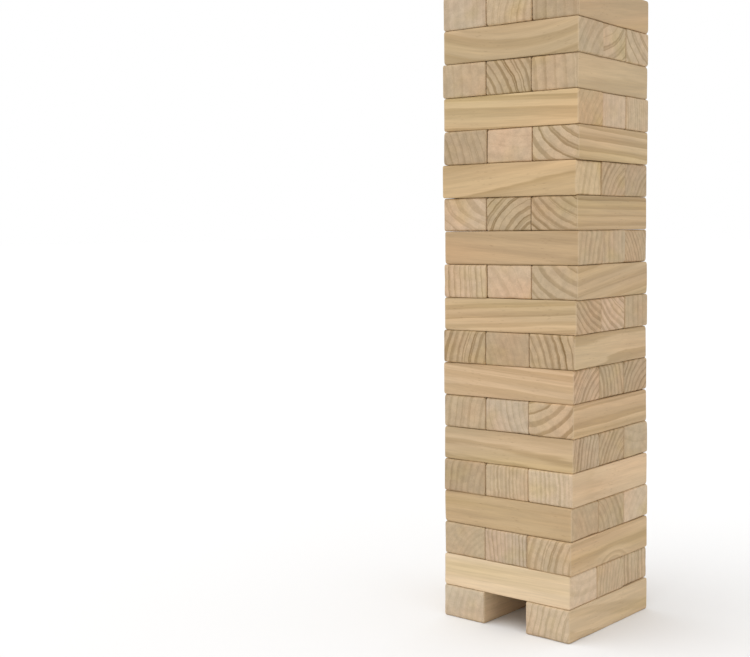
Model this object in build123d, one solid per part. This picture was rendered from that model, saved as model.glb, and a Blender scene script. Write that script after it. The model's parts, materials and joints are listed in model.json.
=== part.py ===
from build123d import *

import os
import random

# Giant tumbling tower: a lawn game of loose pine blocks stacked in courses of three.
# Each course is laid across the one below, and the bottom course has its middle block left out.
# Millimetres and degrees. +Z is up. The origin is on the ground at the centre of the bottom course.
# Odd courses run front to back along Y, even courses run left to right along X.

# One block: dressed pine, cut so that three blocks side by side are as wide as one is long.
# Planed faces are never quite flat, so the blocks stand a hair apart from each other.
BLOCK_LENGTH = 175.0
BLOCK_THICKNESS = 38.2
BLOCK_GAP = 0.1
BLOCK_WIDTH = (BLOCK_LENGTH - 2 * BLOCK_GAP) / 3
EDGE_RADIUS = 3.0

# The stack.
COURSE_COUNT = 19
COURSE_PITCH = BLOCK_THICKNESS + BLOCK_GAP
SIDE_PITCH = BLOCK_WIDTH + BLOCK_GAP

# Laid by hand, the stack winds round a little from the ground up to this course.
TURN_PER_COURSE = 0.38
LAST_TURNED_COURSE = 12

# How far a course sits off centre or askew, and how far a block stands in or out of its course.
COURSE_SHIFT = 0.8
COURSE_SKEW = 0.15
BLOCK_SHIFT = 1.0

# Where the blocks of a course lie, in block pitches from its middle.
LENGTHWISE_PLACES = {"left": -1, "middle": 0, "right": 1}
CROSSWISE_PLACES = {"front": -1, "middle": 0, "back": 1}


def runs_lengthwise(course):
    """True for the courses that run along Y, which are the odd ones, counted from the ground."""
    return course % 2 == 1


def course_places(course):
    """The names of a course's blocks, each with its place across the course."""
    if course == 1:
        return {name: place for name, place in LENGTHWISE_PLACES.items() if place != 0}
    return LENGTHWISE_PLACES if runs_lengthwise(course) else CROSSWISE_PLACES


def course_turn(course):
    """How far a course is turned about the tower's axis from the bottom course, in degrees."""
    if course == 1:
        return 0.0
    skew = random.Random(course).uniform(-COURSE_SKEW, COURSE_SKEW)
    return TURN_PER_COURSE * (min(course, LAST_TURNED_COURSE) - 1) + skew


def course_offset(course):
    """How far a course sits off the tower's axis, in X and Y."""
    if course == 1:
        return 0.0, 0.0
    chance = random.Random(100 + course)
    return chance.uniform(-COURSE_SHIFT, COURSE_SHIFT), chance.uniform(-COURSE_SHIFT, COURSE_SHIFT)


def block_name(course, side):
    return f"course_{course:02d}_{side}_block"


def block_location(course, place):
    """Where a block lies: its centre, and the turn that brings its length from Y to its own direction."""
    offset_x, offset_y = course_offset(course)
    middle_height = (course - 1) * COURSE_PITCH + BLOCK_THICKNESS / 2
    course_location = Location((offset_x, offset_y, middle_height), (0, 0, course_turn(course)))
    across = place * SIDE_PITCH
    along = random.Random(10 * course + place).uniform(-BLOCK_SHIFT, BLOCK_SHIFT)
    if runs_lengthwise(course):
        return course_location * Location((across, along, 0))
    return course_location * Location((along, across, 0), (0, 0, -90))


def loose_block():
    """One block with its length along Y, centred on the origin, with every edge eased."""
    block = Box(BLOCK_WIDTH, BLOCK_LENGTH, BLOCK_THICKNESS)
    return fillet(block.edges(), EDGE_RADIUS)


def tower_blocks():
    """Every block in its place in the tower, by name."""
    block = loose_block()
    blocks = {}
    for course in range(1, COURSE_COUNT + 1):
        for side, place in course_places(course).items():
            blocks[block_name(course, side)] = block.moved(block_location(course, place))
    return blocks


def write_parts():
    os.makedirs("parts", exist_ok=True)
    for name, block in tower_blocks().items():
        export_step(block, f"parts/{name}.step")


write_parts()
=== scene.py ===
import json
import math
import random

import bpy
import numpy as np
from mathutils import Matrix, Vector


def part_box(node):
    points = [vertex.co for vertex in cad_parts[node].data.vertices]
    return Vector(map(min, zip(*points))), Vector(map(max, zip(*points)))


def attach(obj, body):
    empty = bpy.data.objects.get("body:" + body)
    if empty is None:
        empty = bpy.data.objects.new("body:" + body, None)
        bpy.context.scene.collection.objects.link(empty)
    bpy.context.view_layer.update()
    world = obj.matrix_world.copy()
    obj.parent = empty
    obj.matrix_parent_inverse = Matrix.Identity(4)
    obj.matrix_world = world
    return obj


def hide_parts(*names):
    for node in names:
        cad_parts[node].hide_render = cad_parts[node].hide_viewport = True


# Giant tumbling tower: every block is rebuilt as a piece of sanded pine, where the frame says it is.
# Lengths are in metres. A block's own directions are across its shown end, along it, and up.

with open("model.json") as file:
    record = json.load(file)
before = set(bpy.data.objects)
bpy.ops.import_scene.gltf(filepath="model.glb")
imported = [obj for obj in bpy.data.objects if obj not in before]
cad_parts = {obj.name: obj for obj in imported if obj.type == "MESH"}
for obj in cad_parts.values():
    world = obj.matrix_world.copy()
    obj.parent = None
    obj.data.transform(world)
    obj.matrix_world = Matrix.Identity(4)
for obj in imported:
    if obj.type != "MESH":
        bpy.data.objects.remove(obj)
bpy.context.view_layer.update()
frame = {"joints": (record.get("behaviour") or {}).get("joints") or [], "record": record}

# The camera stands to the right of the front and looks past the tower's left side.
CAMERA_AZIMUTH = math.radians(33.33)
CAMERA_DISTANCE = 1.4967
CAMERA_HEIGHT = 0.4619
CAMERA_TURN = math.radians(7.835)
CAMERA_TILT = math.radians(-4.493)
CAMERA_ROLL = math.radians(-0.569)
CAMERA_LENS = 60.05
SENSOR_WIDTH = 36.0

# The floor comes out as white as the sky, because the sun makes up what it absorbs of the sky's light.
# The excess is how much stronger the sun is than that takes.
FLOOR_SIZE = 80.0
FLOOR_COLOUR = (0.83, 0.83, 0.83, 1)
SKY_COLOUR = (1.0, 1.0, 1.0, 1)
SUN_AZIMUTH = math.radians(-35)
SUN_HEIGHT = math.radians(66)
SUN_WIDTH = math.radians(50)
SUN_EXCESS = 1.15

# A block's mesh: the size of its cells, the steps round an edge, and the strip that keeps a face flat
# beside them.
CELL = 0.003
EDGE_STEPS = 3
EDGE_STRIP = 0.0004

# The radius of a fresh edge and of a fully worn one, and how far the rounding reaches over each face
# as a share of its radius: across, along, up.
EASED_RADIUS = 0.0024
WORN_RADIUS = 0.0048
ROUNDING_REACH = np.array([0.40, 0.75, 1.0])

# Wear goes from 0 to 1, and drifts about its mean. A drift is a sum of waves, whose lengths spread
# about its wavelength.
WEAR_MEAN = 0.34
WEAR_DRIFT = 0.30
WEAR_WAVELENGTH = 0.05
WAVE_COUNT = 5
WAVE_SPREAD = (0.7, 1.4)

# The edges are knocked in places. An edge runs across the block, along it or up, numbered 0, 1 and 2,
# and the long edges get half of the knocks.
KNOCK_COUNT = 5
KNOCK_DIRECTIONS = (0, 1, 1, 2)
KNOCK_STRENGTH = (0.3, 1.0)
KNOCK_RADIUS = (0.003, 0.006)

# The planed top and bottom fall away by up to this depth, in patches, close to the block's outline.
FALL_DEPTH = 0.0003
FALL_POWER = 6
FALL_WAVELENGTH = 0.06

# Where the rounded surface turns from side to sawn end: the part of its direction that lies along the
# block at the start of the change, and how much more it takes. It turns to edge as the largest part of
# its direction drops this far below 1, and to upright edge as the upward part drops from this to 0.
END_START = 0.55
END_FADE = 0.3
EDGE_FADE = 0.2
UPRIGHT_FADE = 0.5

# Each knot runs across its block's width. It lies at a share of half the length and half the
# thickness from the middle, give or take the stray. A swirl is the grain beside a knot that is not in
# the block itself.
KNOTS = {
    "course_16_back_block": ("knot", 0.50, -0.25),
    "course_13_left_block": ("knot", -0.62, 0.20),
    "course_10_back_block": ("knot", -0.34, 0.35),
    "course_07_left_block": ("knot", 0.28, -0.40),
    "course_04_back_block": ("knot", 0.12, 0.10),
    "course_03_right_block": ("swirl", 0.10, -0.95),
}
KNOT_STRAY = 0.05
# A knot's heart, how far the rings run round it, and how far they are pushed. Both are longer along
# the block than up it.
KNOT_RADIUS = 0.0055
KNOT_STRETCH = 1.3
SWIRL_REACH = 0.011
SWIRL_STRETCH = 2.2
SWIRL_PUSH = 0.016

# Where the pith of the tree lies from the middle of a block's shown end, across and up, by the way
# that the growth rings run over that end.
PITH = {
    "upright": (0.260, 0.010),
    "upright_left": (-0.200, -0.010),
    "curve_right": (0.085, -0.018),
    "curve_up": (0.090, 0.022),
    "lean_right": (0.165, -0.042),
    "lean_left": (-0.105, -0.036),
    "slant_right": (0.072, -0.062),
    "slant_left": (-0.078, -0.046),
    "slope_left": (0.066, 0.096),
    "corner_right": (0.062, 0.080),
    "corner_left": (-0.038, 0.063),
    "arch": (0.044, -0.046),
    "bowl": (-0.046, 0.074),
    "flat": (0.010, 0.170),
}
# How the grain runs along a block: how far it climbs toward the shown end for each metre, and how far
# it bows over the block's length, in metres.
RUN = {
    "straight": (0.0, 0.0),
    "rising": (0.11, 0.0),
    "falling": (-0.11, 0.0),
    "bowed": (0.0, 0.013),
}
# How dark the latewood is against the earlywood, and how far apart the rings are.
CONTRAST = {"faint": 0.18, "soft": 0.42, "clear": 0.68, "bold": 0.92}
RING_WIDTH = {"fine": 0.0058, "medium": 0.0082, "wide": 0.0120}
# The colour of a block, as a share of the plain straw colour.
TONE = {
    "straw": (1.00, 1.00, 1.00),
    "tan": (0.90, 0.88, 0.84),
    "gold": (0.99, 0.96, 0.90),
    "honey": (1.03, 1.04, 0.99),
    "stone": (0.97, 1.02, 1.09),
    "rose": (1.06, 1.04, 1.08),
    "pale": (1.11, 1.13, 1.20),
    "cream": (1.26, 1.33, 1.50),
    "ivory": (1.04, 1.13, 1.27),
    "ash": (0.97, 1.01, 1.11),
    "dun": (0.92, 0.93, 0.93),
    "umber": (0.84, 0.82, 0.80),
}
# The colour of some sawn ends, as a share of the colour of the same block's sides.
END_TONE = {"pale_end": (1.12, 1.12, 1.09), "brown_end": (0.93, 0.88, 0.83)}
# The share of the rings' contrast that shows on a planed side, and on a furry, torn sawn end.
SIDE_SHARE = 0.8
DULL = 0.5
# Each course's blocks, from the left in the odd courses and from the front in the even ones.
WOOD = {
    19: (
        "upright faint wide ash",
        "curve_right soft medium straw",
        "upright_left soft wide umber falling",
    ),
    18: (
        "slant_right clear wide dun bowed dull",
        "bowl clear wide straw",
        "corner_right clear wide straw",
    ),
    17: (
        "upright_left faint wide dun",
        "slant_left bold medium tan",
        "upright_left soft wide dun",
    ),
    16: (
        "slant_right clear medium honey dull brown_end",
        "upright faint wide rose",
        "upright soft fine straw",
    ),
    15: (
        "lean_left soft medium umber",
        "flat faint wide rose",
        "corner_right bold wide straw",
    ),
    14: (
        "lean_right clear wide gold rising dull pale_end",
        "slant_right clear medium tan",
        "slant_right soft medium umber",
    ),
    13: (
        "corner_right soft wide rose",
        "arch bold medium tan",
        "corner_right bold medium tan",
    ),
    12: (
        "lean_right bold wide umber falling dull pale_end",
        "upright soft wide dun",
        "slant_left clear fine tan",
    ),
    11: (
        "upright clear medium rose",
        "slant_left faint wide rose",
        "corner_right clear wide dun falling",
    ),
    10: (
        "slope_left clear medium straw brown_end",
        "slope_left clear medium rose",
        "upright soft wide tan",
    ),
    9: (
        "lean_right bold medium tan",
        "lean_left faint medium umber",
        "lean_left bold medium straw brown_end",
    ),
    8: (
        "slant_right clear medium rose falling brown_end",
        "lean_left clear medium tan",
        "arch bold medium umber",
    ),
    7: (
        "curve_right soft medium dun",
        "curve_up soft medium ash",
        "corner_left bold wide straw",
    ),
    6: (
        "lean_right bold medium stone brown_end",
        "slant_right clear medium tan",
        "flat faint wide dun",
    ),
    5: (
        "lean_right soft medium umber",
        "upright soft fine straw",
        "upright_left soft fine pale",
    ),
    4: (
        "slant_left faint medium tan",
        "slant_left soft medium tan",
        "slant_right faint wide pale",
    ),
    3: (
        "slant_right faint fine dun",
        "upright clear fine ash",
        "lean_right clear medium straw",
    ),
    2: (
        "flat faint wide cream brown_end",
        "lean_right soft fine straw",
        "upright clear medium straw",
    ),
    1: (
        "lean_right faint medium ivory",
        "lean_right soft medium pale",
    ),
}
SIDES = {"left": 0, "middle": 1, "right": 2, "front": 0, "back": 2}
# The bottom blocks don't slide. They lie along this direction.
BOTTOM_DIRECTION = (0, 1, 0)

# How far a block differs from its words: the distance of its pith, the lean of its fibres to each
# metre, and shares of its contrast and ring width. Its seed is its place in the noise.
PITH_CHANGE = 0.08
LEAN_CHANGE = 0.03
CONTRAST_CHANGE = (0.9, 1.1)
RING_WIDTH_CHANGE = (0.9, 1.1)
SEED_RANGE = (0, 40)
SEED_ALONG = 0.37

# The colours of straw-coloured wood and of the things in it. The last two only tint it.
EARLYWOOD = (0.565, 0.413, 0.240, 1)
LATEWOOD = (0.300, 0.193, 0.074, 1)
END_EARLYWOOD = (0.530, 0.403, 0.257, 1)
END_LATEWOOD = (0.262, 0.171, 0.070, 1)
# The rubbed colour lightens the upright edges. It is part sanded wear and part painted highlight where the
# edges catch the light.
RUBBED_AND_HIGHLIGHT = (0.64, 0.49, 0.315, 1)
CANAL = (0.22, 0.12, 0.05, 1)
KNOT_RIM = (0.36, 0.20, 0.085, 1)
KNOT_HEART = (0.13, 0.060, 0.028, 1)
BLUSH = (1.06, 0.97, 0.93, 1)
GOLDEN = (0.97, 0.97, 0.84, 1)

# Noise in the wood: cells to the metre, twice across the fibres and once along them, then the detail
# and the roughness of the noise.
NOISE = {
    "ring_drift": ((14.0, 14.0, 2.2), 1.0, 0.5),
    "ring_ripple": ((75.0, 75.0, 7.0), 3.0, 0.6),
    "blush": ((16.0, 16.0, 3.0), 2.0, 0.5),
    "golden": ((23.0, 31.0, 2.0), 1.0, 0.5),
    "streak": ((110.0, 110.0, 5.0), 3.0, 0.6),
    "fibre": ((900.0, 900.0, 22.0), 3.0, 0.65),
    "saw": ((45.0, 650.0, 0.0), 2.0, 0.5),
}
CANAL_CELLS = (620.0, 620.0, 85.0)
ACROSS_FIBRES = (1.0, 1.0, 0.0)

# How far the rings drift and ripple, how often wide years come, and how much wider they are.
RING_DRIFT = 0.011
RING_RIPPLE = 0.0042
WIDE_YEARS = 0.55
WIDE_YEAR_GAIN = 0.8
# When in the year the latewood sets in and breaks off, on a side and on an end, and when it is full.
LATEWOOD_START = (0.10, 0.40)
LATEWOOD_FULL = 0.80
LATEWOOD_BREAK = (0.84, 0.91)
# How much of its darkness the latewood can lose in a poor year.
POOR_YEAR_LOSS = 0.55

# Each of these eases from one value to another as a noise or a distance goes from low to high:
# (low, high) or (low, high, value at low, value at high).
BLUSH_SHARE = (0.35, 0.75)
GOLDEN_SHARE = (0.50, 0.80)
STREAK_SHADE = (0.30, 0.72, 0.90, 1.07)
FIBRE_SHADE = (0.25, 0.75, 0.93, 1.06)
FIBRE_ROUGHNESS = (0.2, 0.8, 0.60, 0.74)
CANAL_SPOT = (0.12, 0.26, 1.0, 0.0)
KNOT_RIM_SHARE = (0.10, 0.60, 0.0, 0.55)
KNOT_HEART_SHARE = (0.60, 0.78, 0.0, 0.85)

# How much of the rubbed colour covers the upright edges. This is partly painted highlight.
RUBBED_AND_HIGHLIGHT_SHARE = 0.45
# The share of the cells that hold no resin canal, and how dark a canal is.
NO_CANAL = 0.72
CANAL_DARKNESS = 0.30

# The polish of hard latewood, the roughness of a sawn end, and how high each thing stands in the bump.
LATEWOOD_POLISH = 0.10
END_ROUGHNESS = 0.10
SPECULAR = 0.35
BUMP_STRENGTH = 0.35
BUMP_DISTANCE = 0.0004
LATEWOOD_HEIGHT = 0.6
SAW_HEIGHT = 1.5
CANAL_DEPTH = 0.8


def make_floor():
    bpy.ops.mesh.primitive_plane_add(size=FLOOR_SIZE, location=(0, 0, 0))
    floor = bpy.context.object
    floor.name = "floor"
    material = bpy.data.materials.new("pale_floor")
    material.use_nodes = True
    shader = material.node_tree.nodes["Principled BSDF"]
    shader.inputs["Base Color"].default_value = FLOOR_COLOUR
    shader.inputs["Roughness"].default_value = 1.0
    shader.inputs["Specular IOR Level"].default_value = 0.0
    floor.data.materials.append(material)


def make_world():
    world = bpy.data.worlds.new("studio")
    world.use_nodes = True
    background = world.node_tree.nodes["Background"]
    background.inputs["Color"].default_value = SKY_COLOUR
    background.inputs["Strength"].default_value = 1.0
    bpy.context.scene.world = world
    bpy.context.scene.view_settings.view_transform = "Standard"


def direction_from_front(azimuth):
    """The level direction that lies an angle round to the right from the tower's front."""
    return Vector((math.sin(azimuth), -math.cos(azimuth), 0))


def make_sun():
    """A wide soft sun, a little stronger than it takes to bring the floor up to white."""
    data = bpy.data.lights.new("sun", "SUN")
    data.angle = SUN_WIDTH
    data.energy = SUN_EXCESS * math.pi * (1 / FLOOR_COLOUR[0] - 1) / math.sin(SUN_HEIGHT)
    sun = bpy.data.objects.new("sun", data)
    toward_sun = direction_from_front(SUN_AZIMUTH) * math.cos(SUN_HEIGHT)
    toward_sun.z = math.sin(SUN_HEIGHT)
    sun.rotation_mode = "QUATERNION"
    sun.rotation_quaternion = (-toward_sun).to_track_quat("-Z", "Y")
    bpy.context.scene.collection.objects.link(sun)


def make_camera():
    data = bpy.data.cameras.new("camera")
    data.lens = CAMERA_LENS
    data.sensor_width = SENSOR_WIDTH
    camera = bpy.data.objects.new("camera", data)
    place = direction_from_front(CAMERA_AZIMUTH) * CAMERA_DISTANCE
    place.z = CAMERA_HEIGHT
    turn = Matrix.Rotation(CAMERA_AZIMUTH + CAMERA_TURN, 4, "Z")
    tilt = Matrix.Rotation(math.radians(90) + CAMERA_TILT, 4, "X")
    roll = Matrix.Rotation(CAMERA_ROLL, 4, "Z")
    camera.matrix_world = Matrix.Translation(place) @ turn @ tilt @ roll
    bpy.context.scene.collection.objects.link(camera)
    bpy.context.scene.camera = camera


class Wiring:
    """Short ways to add nodes to a node tree and wire them up. Each gives the new node's output."""

    def __init__(self, tree):
        self.tree = tree

    def put(self, socket, value):
        if isinstance(value, bpy.types.NodeSocket):
            self.tree.links.new(value, socket)
        else:
            socket.default_value = value

    def node(self, kind, **settings):
        made = self.tree.nodes.new(kind)
        for name, value in settings.items():
            setattr(made, name, value)
        return made

    def math(self, operation, *values, clamp=False):
        made = self.node("ShaderNodeMath", operation=operation, use_clamp=clamp)
        for socket, value in zip(made.inputs, values):
            self.put(socket, value)
        return made.outputs[0]

    def vector(self, operation, *values):
        made = self.node("ShaderNodeVectorMath", operation=operation)
        for socket, value in zip(made.inputs, values):
            self.put(socket, value)
        return made.outputs["Value" if operation == "LENGTH" else "Vector"]

    def noise(self, place, name):
        """Smooth noise from 0 to 1 over the wood."""
        cells, detail, roughness = NOISE[name]
        made = self.node("ShaderNodeTexNoise", noise_dimensions="3D")
        self.put(made.inputs["Vector"], self.vector("MULTIPLY", place, cells))
        made.inputs["Scale"].default_value = 1.0
        made.inputs["Detail"].default_value = detail
        made.inputs["Roughness"].default_value = roughness
        return made.outputs["Fac"]

    def swing(self, place, name, reach):
        """The same noise, from minus half the reach to plus half."""
        return self.math("MULTIPLY", self.math("SUBTRACT", self.noise(place, name), 0.5), reach)

    def smooth(self, value, low, high, start=0.0, end=1.0):
        """From start to end as the value goes from low to high, easing in and out."""
        made = self.node("ShaderNodeMapRange", interpolation_type="SMOOTHSTEP", clamp=True)
        self.put(made.inputs["Value"], value)
        self.put(made.inputs["From Min"], low)
        self.put(made.inputs["From Max"], high)
        self.put(made.inputs["To Min"], start)
        self.put(made.inputs["To Max"], end)
        return made.outputs["Result"]

    def side_or_end(self, end, on_side, on_end):
        """A number with one value on a block's sides and another on its sawn ends."""
        return self.smooth(end, 0.0, 1.0, on_side, on_end)

    def mix(self, share, first, second, blend="MIX"):
        """A share of the second colour over the first. A mix node's colours are its sockets 6, 7 and 2."""
        made = self.node("ShaderNodeMix", data_type="RGBA", blend_type=blend, clamp_factor=True)
        self.put(made.inputs["Factor"], share)
        self.put(made.inputs[6], first)
        self.put(made.inputs[7], second)
        return made.outputs[2]

    def attribute(self, name, kind="GEOMETRY", output="Fac"):
        return self.node("ShaderNodeAttribute", attribute_type=kind, attribute_name=name).outputs[output]


def place_in_noise(w, place, seed):
    """The place in the log, moved by the block's seed so that no two blocks share their noise."""
    shift = w.node("ShaderNodeCombineXYZ")
    w.put(shift.inputs["X"], seed)
    w.put(shift.inputs["Z"], w.math("MULTIPLY", seed, SEED_ALONG))
    return w.vector("ADD", place, shift.outputs["Vector"])


def growth_rings(w, place, noise_place, seed):
    """How far into its year each point grew, from 0 in spring to 1 in autumn, and its year's number."""
    radius = w.vector("LENGTH", w.vector("MULTIPLY", place, ACROSS_FIBRES))
    radius = w.math("ADD", radius, w.swing(noise_place, "ring_drift", RING_DRIFT))
    radius = w.math("ADD", radius, w.swing(noise_place, "ring_ripple", RING_RIPPLE))
    ring_width = w.attribute("ring_width", "OBJECT")
    year = w.math("ADD", w.math("DIVIDE", radius, ring_width), seed)
    uneven = w.node("ShaderNodeTexNoise", noise_dimensions="1D")
    w.put(uneven.inputs["W"], w.math("MULTIPLY", year, WIDE_YEARS))
    uneven.inputs["Detail"].default_value = 1.0
    year = w.math("ADD", year, w.math("MULTIPLY", uneven.outputs["Fac"], WIDE_YEAR_GAIN))
    return w.math("FRACT", year), w.math("FLOOR", year)


def latewood_share(w, growth, year, end):
    """How much of the dark latewood shows at each point, from 0 to 1."""
    rise = w.smooth(growth, w.side_or_end(end, *LATEWOOD_START), LATEWOOD_FULL)
    drop = w.smooth(growth, w.side_or_end(end, *LATEWOOD_BREAK), 1.0, 1.0, 0.0)
    weather = w.node("ShaderNodeTexWhiteNoise", noise_dimensions="1D")
    w.put(weather.inputs["W"], year)
    darkness = w.math("MULTIPLY_ADD", weather.outputs["Value"], POOR_YEAR_LOSS, 1 - POOR_YEAR_LOSS)
    line = w.math("MULTIPLY", w.math("MULTIPLY", rise, drop), darkness)
    on_side = w.attribute("side_contrast", "OBJECT")
    on_end = w.attribute("end_contrast", "OBJECT")
    return w.math("MULTIPLY", line, w.side_or_end(end, on_side, on_end), clamp=True)


def wood_colour(w, noise_place, latewood, fibre, end):
    """The colour of clean wood: rings, broad drifts of colour, streaks and fibres, and its own tone."""
    early = w.mix(end, EARLYWOOD, END_EARLYWOOD)
    late = w.mix(end, LATEWOOD, END_LATEWOOD)
    colour = w.mix(latewood, early, late)
    blush = w.smooth(w.noise(noise_place, "blush"), *BLUSH_SHARE)
    colour = w.mix(blush, colour, BLUSH, "MULTIPLY")
    golden = w.smooth(w.noise(noise_place, "golden"), *GOLDEN_SHARE)
    colour = w.mix(golden, colour, GOLDEN, "MULTIPLY")
    streak = w.smooth(w.noise(noise_place, "streak"), *STREAK_SHADE)
    shade = w.math("MULTIPLY", streak, w.smooth(fibre, *FIBRE_SHADE))
    grey = w.node("ShaderNodeCombineColor")
    for channel in grey.inputs:
        w.put(channel, shade)
    colour = w.mix(1.0, colour, grey.outputs["Color"], "MULTIPLY")
    side_tone = w.attribute("tone", "OBJECT", "Color")
    end_tone = w.attribute("end_tone", "OBJECT", "Color")
    return w.mix(1.0, colour, w.mix(end, side_tone, end_tone), "MULTIPLY")


def resin_canals(w, noise_place):
    """Short dashes along the fibres, and dots where they come out at an end: 1 in a canal, or else 0."""
    canals = w.node("ShaderNodeTexVoronoi", voronoi_dimensions="3D", feature="F1")
    w.put(canals.inputs["Vector"], w.vector("MULTIPLY", noise_place, CANAL_CELLS))
    canals.inputs["Scale"].default_value = 1.0
    spot = w.smooth(canals.outputs["Distance"], *CANAL_SPOT)
    cell = w.node("ShaderNodeSeparateColor")
    w.put(cell.inputs["Color"], canals.outputs["Color"])
    return w.math("MULTIPLY", spot, w.math("GREATER_THAN", cell.outputs[0], NO_CANAL))


def surface_roughness(w, latewood, fibre, end):
    rough = w.smooth(fibre, *FIBRE_ROUGHNESS)
    rough = w.math("SUBTRACT", rough, w.math("MULTIPLY", latewood, LATEWOOD_POLISH))
    return w.math("ADD", rough, w.math("MULTIPLY", end, END_ROUGHNESS))


def surface_bump(w, noise_place, latewood, fibre, canal, end):
    """Raised fibres and latewood, saw marks on the ends, and sunken canals."""
    bump = w.node("ShaderNodeBump")
    bump.inputs["Strength"].default_value = BUMP_STRENGTH
    bump.inputs["Distance"].default_value = BUMP_DISTANCE
    saw = w.math("MULTIPLY", w.noise(noise_place, "saw"), end)
    height = w.math("ADD", fibre, w.math("MULTIPLY", latewood, LATEWOOD_HEIGHT))
    height = w.math("ADD", height, w.math("MULTIPLY", saw, SAW_HEIGHT))
    height = w.math("SUBTRACT", height, w.math("MULTIPLY", canal, CANAL_DEPTH))
    w.put(bump.inputs["Height"], height)
    return bump.outputs["Normal"]


def make_pine():
    """Pine cut from a tree: rings round the pith, fibres along it, darker and rougher on the sawn ends."""
    material = bpy.data.materials.new("pine")
    material.use_nodes = True
    shader = material.node_tree.nodes["Principled BSDF"]
    w = Wiring(material.node_tree)

    place = w.attribute("log", output="Vector")
    end = w.attribute("end_grain")
    knot = w.attribute("knot")
    seed = w.attribute("seed", "OBJECT")
    noise_place = place_in_noise(w, place, seed)
    growth, year = growth_rings(w, place, noise_place, seed)
    latewood = latewood_share(w, growth, year, end)
    fibre = w.noise(noise_place, "fibre")
    canal = resin_canals(w, noise_place)

    colour = wood_colour(w, noise_place, latewood, fibre, end)
    # Upright edges lightened: rubbed wear and painted highlight.
    colour = w.mix(w.math("MULTIPLY", w.attribute("rubbed_and_highlit_edge"), RUBBED_AND_HIGHLIGHT_SHARE), colour, RUBBED_AND_HIGHLIGHT)
    colour = w.mix(w.math("MULTIPLY", canal, CANAL_DARKNESS), colour, CANAL)
    colour = w.mix(w.smooth(knot, *KNOT_RIM_SHARE), colour, KNOT_RIM)
    colour = w.mix(w.smooth(knot, *KNOT_HEART_SHARE), colour, KNOT_HEART)
    w.put(shader.inputs["Base Color"], colour)
    w.put(shader.inputs["Roughness"], surface_roughness(w, latewood, fibre, end))
    w.put(shader.inputs["Normal"], surface_bump(w, noise_place, latewood, fibre, canal, end))
    shader.inputs["Specular IOR Level"].default_value = SPECULAR
    return material


def lattice(counts):
    """The points and faces of a box divided into cells: each point as its three line numbers."""
    shell = np.zeros([count + 1 for count in counts], bool)
    for axis in range(3):
        ends = [slice(None)] * 3
        ends[axis] = [0, -1]
        shell[tuple(ends)] = True
    number = np.full(shell.shape, -1)
    number[shell] = np.arange(shell.sum())
    faces = []
    for axis in range(3):
        for side in (0, -1):
            sheet = np.take(number, side, axis=axis)
            quads = np.stack([sheet[:-1, :-1], sheet[1:, :-1], sheet[1:, 1:], sheet[:-1, 1:]], -1)
            quads = quads.reshape(-1, 4)
            faces_outward = (side == -1) == (axis != 1)
            faces.append(quads if faces_outward else quads[:, ::-1])
    return np.argwhere(shell), np.concatenate(faces)


def division(half, reach):
    """Places along one side of a block, close together where its edges round over."""
    rounding = reach * WORN_RADIUS * np.tan(np.linspace(0, math.pi / 4, EDGE_STEPS + 1))
    inner = half - reach * WORN_RADIUS
    flat = inner - EDGE_STRIP
    cells = max(2, round(2 * flat / CELL))
    middle = np.linspace(-flat, flat, cells + 1)
    edge = inner + rounding
    return np.concatenate([-edge[::-1], middle, edge])


def wander(points, chance, wavelength):
    """A smooth random field from about -1 to 1 over the points, with waves of about that length."""
    total = np.zeros(len(points))
    for _ in range(WAVE_COUNT):
        direction = np.array([chance.gauss(0, 1) for _ in range(3)])
        length = wavelength * chance.uniform(*WAVE_SPREAD)
        direction *= 2 * math.pi / (length * np.linalg.norm(direction))
        total += np.cos(points @ direction + chance.uniform(0, 2 * math.pi))
    return total / WAVE_COUNT ** 0.5


def knocks(points, half, chance):
    """Extra wear where a block's edges and corners have been knocked."""
    extra = np.zeros(len(points))
    for _ in range(KNOCK_COUNT):
        spot = [chance.choice((-1, 1)) * side for side in half]
        along = chance.choice(KNOCK_DIRECTIONS)
        spot[along] *= chance.uniform(-1, 1)
        gap = np.linalg.norm(points - np.array(spot), axis=1)
        strength = chance.uniform(*KNOCK_STRENGTH)
        radius = chance.uniform(*KNOCK_RADIUS)
        extra = np.maximum(extra, strength * np.exp(-(gap / radius) ** 2))
    return extra


def rounded(points, half, radius):
    """Points of a box moved onto the same box with rounded edges, and the way out at each of them."""
    reach = radius * ROUNDING_REACH
    inner = np.clip(points, reach - half, half - reach)
    outward = (points - inner) / ROUNDING_REACH
    outward /= np.linalg.norm(outward, axis=1, keepdims=True)
    return inner + reach * outward, outward


def worn_surface(half, chance):
    """The surface of a used block: its points, the way out at each of them, and its faces."""
    lines = [division(side_half, reach) for side_half, reach in zip(half, ROUNDING_REACH)]
    numbers, faces = lattice([len(line) - 1 for line in lines])
    flat = np.stack([line[numbers[:, axis]] for axis, line in enumerate(lines)], 1)
    flat = np.clip(flat, -half, half)
    wear = WEAR_MEAN + WEAR_DRIFT * wander(flat, chance, WEAR_WAVELENGTH)
    wear = np.clip(wear + knocks(flat, half, chance), 0, 1)[:, None]
    points, outward = rounded(flat, half, EASED_RADIUS + wear * (WORN_RADIUS - EASED_RADIUS))
    toward_outline = np.max(np.abs(flat / half)[:, :2], axis=1)
    patches = np.clip(0.5 + 0.5 * wander(flat, chance, FALL_WAVELENGTH), 0, 1)
    fall = FALL_DEPTH * toward_outline ** FALL_POWER * patches
    points[:, 2] -= outward[:, 2] * fall
    return points, outward, faces


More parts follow.
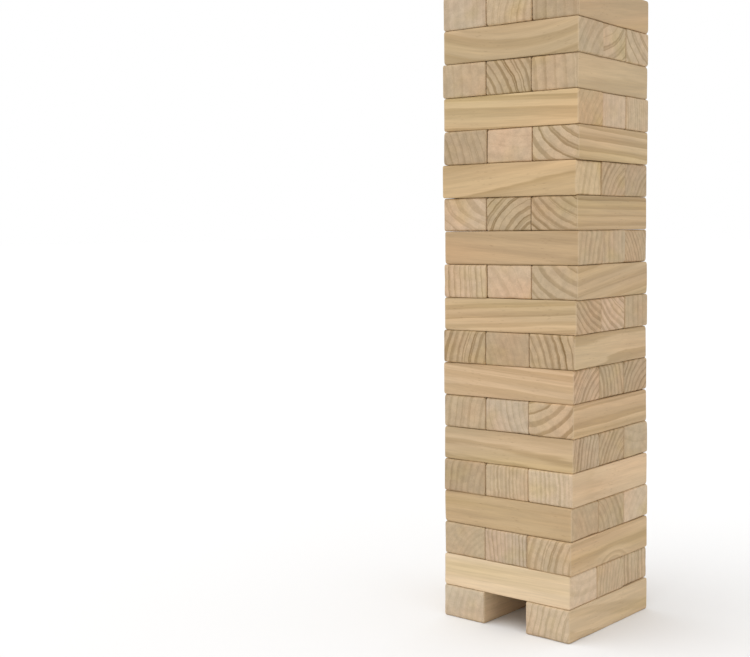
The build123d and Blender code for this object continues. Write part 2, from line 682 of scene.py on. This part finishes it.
def places_in_log(points, half, words, chance):
    """Where each point grew in the tree: two distances from the pith, and the place along the fibres."""
    climb, bow = RUN[next((word for word in words if word in RUN), "straight")]
    pith = np.array(PITH[words[0]]) * (1 + PITH_CHANGE * chance.uniform(-1, 1))
    lean_across = chance.uniform(-LEAN_CHANGE, LEAN_CHANGE)
    lean_up = chance.uniform(-LEAN_CHANGE, LEAN_CHANGE) - climb
    from_end = points[:, 1] + half[1]
    swell = bow * (points[:, 1] / half[1]) ** 2 - bow
    across = points[:, 0] - pith[0] - lean_across * from_end
    up = points[:, 2] - pith[1] - lean_up * from_end - swell
    return np.stack([across, up, points[:, 1]], 1)


def run_round_knot(log, points, half, node, chance):
    """Push the rings out round the block's knot. Gives how near each point is to the knot's heart."""
    stray = [chance.uniform(-KNOT_STRAY, KNOT_STRAY) for _ in range(2)]
    if node not in KNOTS:
        return np.zeros(len(points))
    kind, share_along, share_up = KNOTS[node]
    along = points[:, 1] - (share_along + stray[0]) * half[1]
    up = points[:, 2] - (share_up + stray[1]) * half[2]
    push = SWIRL_PUSH * np.exp(-(along / (SWIRL_STRETCH * SWIRL_REACH)) ** 2 - (up / SWIRL_REACH) ** 2)
    log[:, :2] *= 1 - (push / np.linalg.norm(log[:, :2], axis=1))[:, None]
    heart = np.exp(-(along / (KNOT_STRETCH * KNOT_RADIUS)) ** 2 - (up / KNOT_RADIUS) ** 2)
    return heart if kind == "knot" else np.zeros(len(points))


def set_attribute(mesh, name, values, kind="FLOAT", field="value"):
    mesh.attributes.new(name, kind, "POINT").data.foreach_set(field, values.astype(np.float32).ravel())


def mark_faces(mesh, outward):
    """Mark the sawn ends, and the upright edges that are lightened: rubbed by handling, and a painted
    highlight where they catch the light.
    """
    end_grain = np.clip((np.abs(outward[:, 1]) - END_START) / END_FADE, 0, 1)
    near_edge = np.clip((1 - np.max(np.abs(outward), axis=1)) / EDGE_FADE, 0, 1)
    upright = np.clip(1 - np.abs(outward[:, 2]) / UPRIGHT_FADE, 0, 1)
    set_attribute(mesh, "end_grain", end_grain)
    # Only the upright edges get it, as painted highlight together with rubbed wear.
    set_attribute(mesh, "rubbed_and_highlit_edge", near_edge * upright)


def describe_wood(piece, words, chance):
    """Write what is special about a block's wood on it, where the material reads it."""
    strength, spacing, tone = words[1:4]
    contrast = CONTRAST[strength] * chance.uniform(*CONTRAST_CHANGE)
    end_share = next((END_TONE[word] for word in words if word in END_TONE), (1.0, 1.0, 1.0))
    piece["side_contrast"] = SIDE_SHARE * contrast
    piece["end_contrast"] = DULL * contrast if "dull" in words else contrast
    piece["ring_width"] = RING_WIDTH[spacing] * chance.uniform(*RING_WIDTH_CHANGE)
    piece["tone"] = list(TONE[tone])
    piece["end_tone"] = [side * end for side, end in zip(TONE[tone], end_share)]
    piece["seed"] = chance.uniform(*SEED_RANGE)


def block_axes(joint_axis, shown_end):
    """A block's own directions: across its shown end from left to right, along it from that end, and up."""
    up = Vector((0, 0, 1))
    along = Vector(joint_axis) * -shown_end
    return along.cross(up).normalized(), along, up


def block_half(low, high, axes):
    """Half of a block's width, length and thickness, from the box round it and the way it is turned."""
    wide, deep, tall = (high - low) / 2
    across, along, _ = axes
    turn = np.array([[abs(across.x), abs(along.x)], [abs(across.y), abs(along.y)]])
    width, length = np.linalg.solve(turn, (wide, deep))
    return np.array([width, length, tall])


def make_block(node, body, joint_axis, pine):
    _, course, side, _ = node.split("_")
    # The bottom course has no middle block, so its right block comes second.
    course_wood = WOOD[int(course)]
    words = course_wood[min(SIDES[side], len(course_wood) - 1)].split()
    # The shown end is the front one in an odd course and the right one in an even course.
    shown_end = -1 if int(course) % 2 else 1
    axes = block_axes(joint_axis, shown_end)
    low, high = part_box(node)
    half = block_half(low, high, axes)
    chance = random.Random(node)

    points, outward, faces = worn_surface(half, chance)
    mesh = bpy.data.meshes.new(node + "_wood")
    mesh.from_pydata(points.tolist(), [], faces.tolist())
    mesh.polygons.foreach_set("use_smooth", [True] * len(mesh.polygons))
    mesh.materials.append(pine)
    log = places_in_log(points, half, words, chance)
    knot = run_round_knot(log, points, half, node, chance)
    set_attribute(mesh, "log", log, "FLOAT_VECTOR", "vector")
    set_attribute(mesh, "knot", knot)
    mark_faces(mesh, outward)

    piece = bpy.data.objects.new(node.replace("_block", "_pine"), mesh)
    bpy.context.scene.collection.objects.link(piece)
    basis = Matrix(axes).transposed().to_4x4()
    piece.matrix_world = Matrix.Translation((low + high) / 2) @ basis
    describe_wood(piece, words, chance)
    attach(piece, body)
    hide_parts(node)


def make_blocks():
    pine = make_pine()
    slide_axis = {joint["child"]: joint["axis"] for joint in frame["joints"]}
    for body, nodes in frame["record"]["behaviour"]["bodies"].items():
        for node in nodes:
            make_block(node, body, slide_axis.get(body, BOTTOM_DIRECTION), pine)


make_floor()
make_world()
make_sun()
make_camera()
make_blocks()
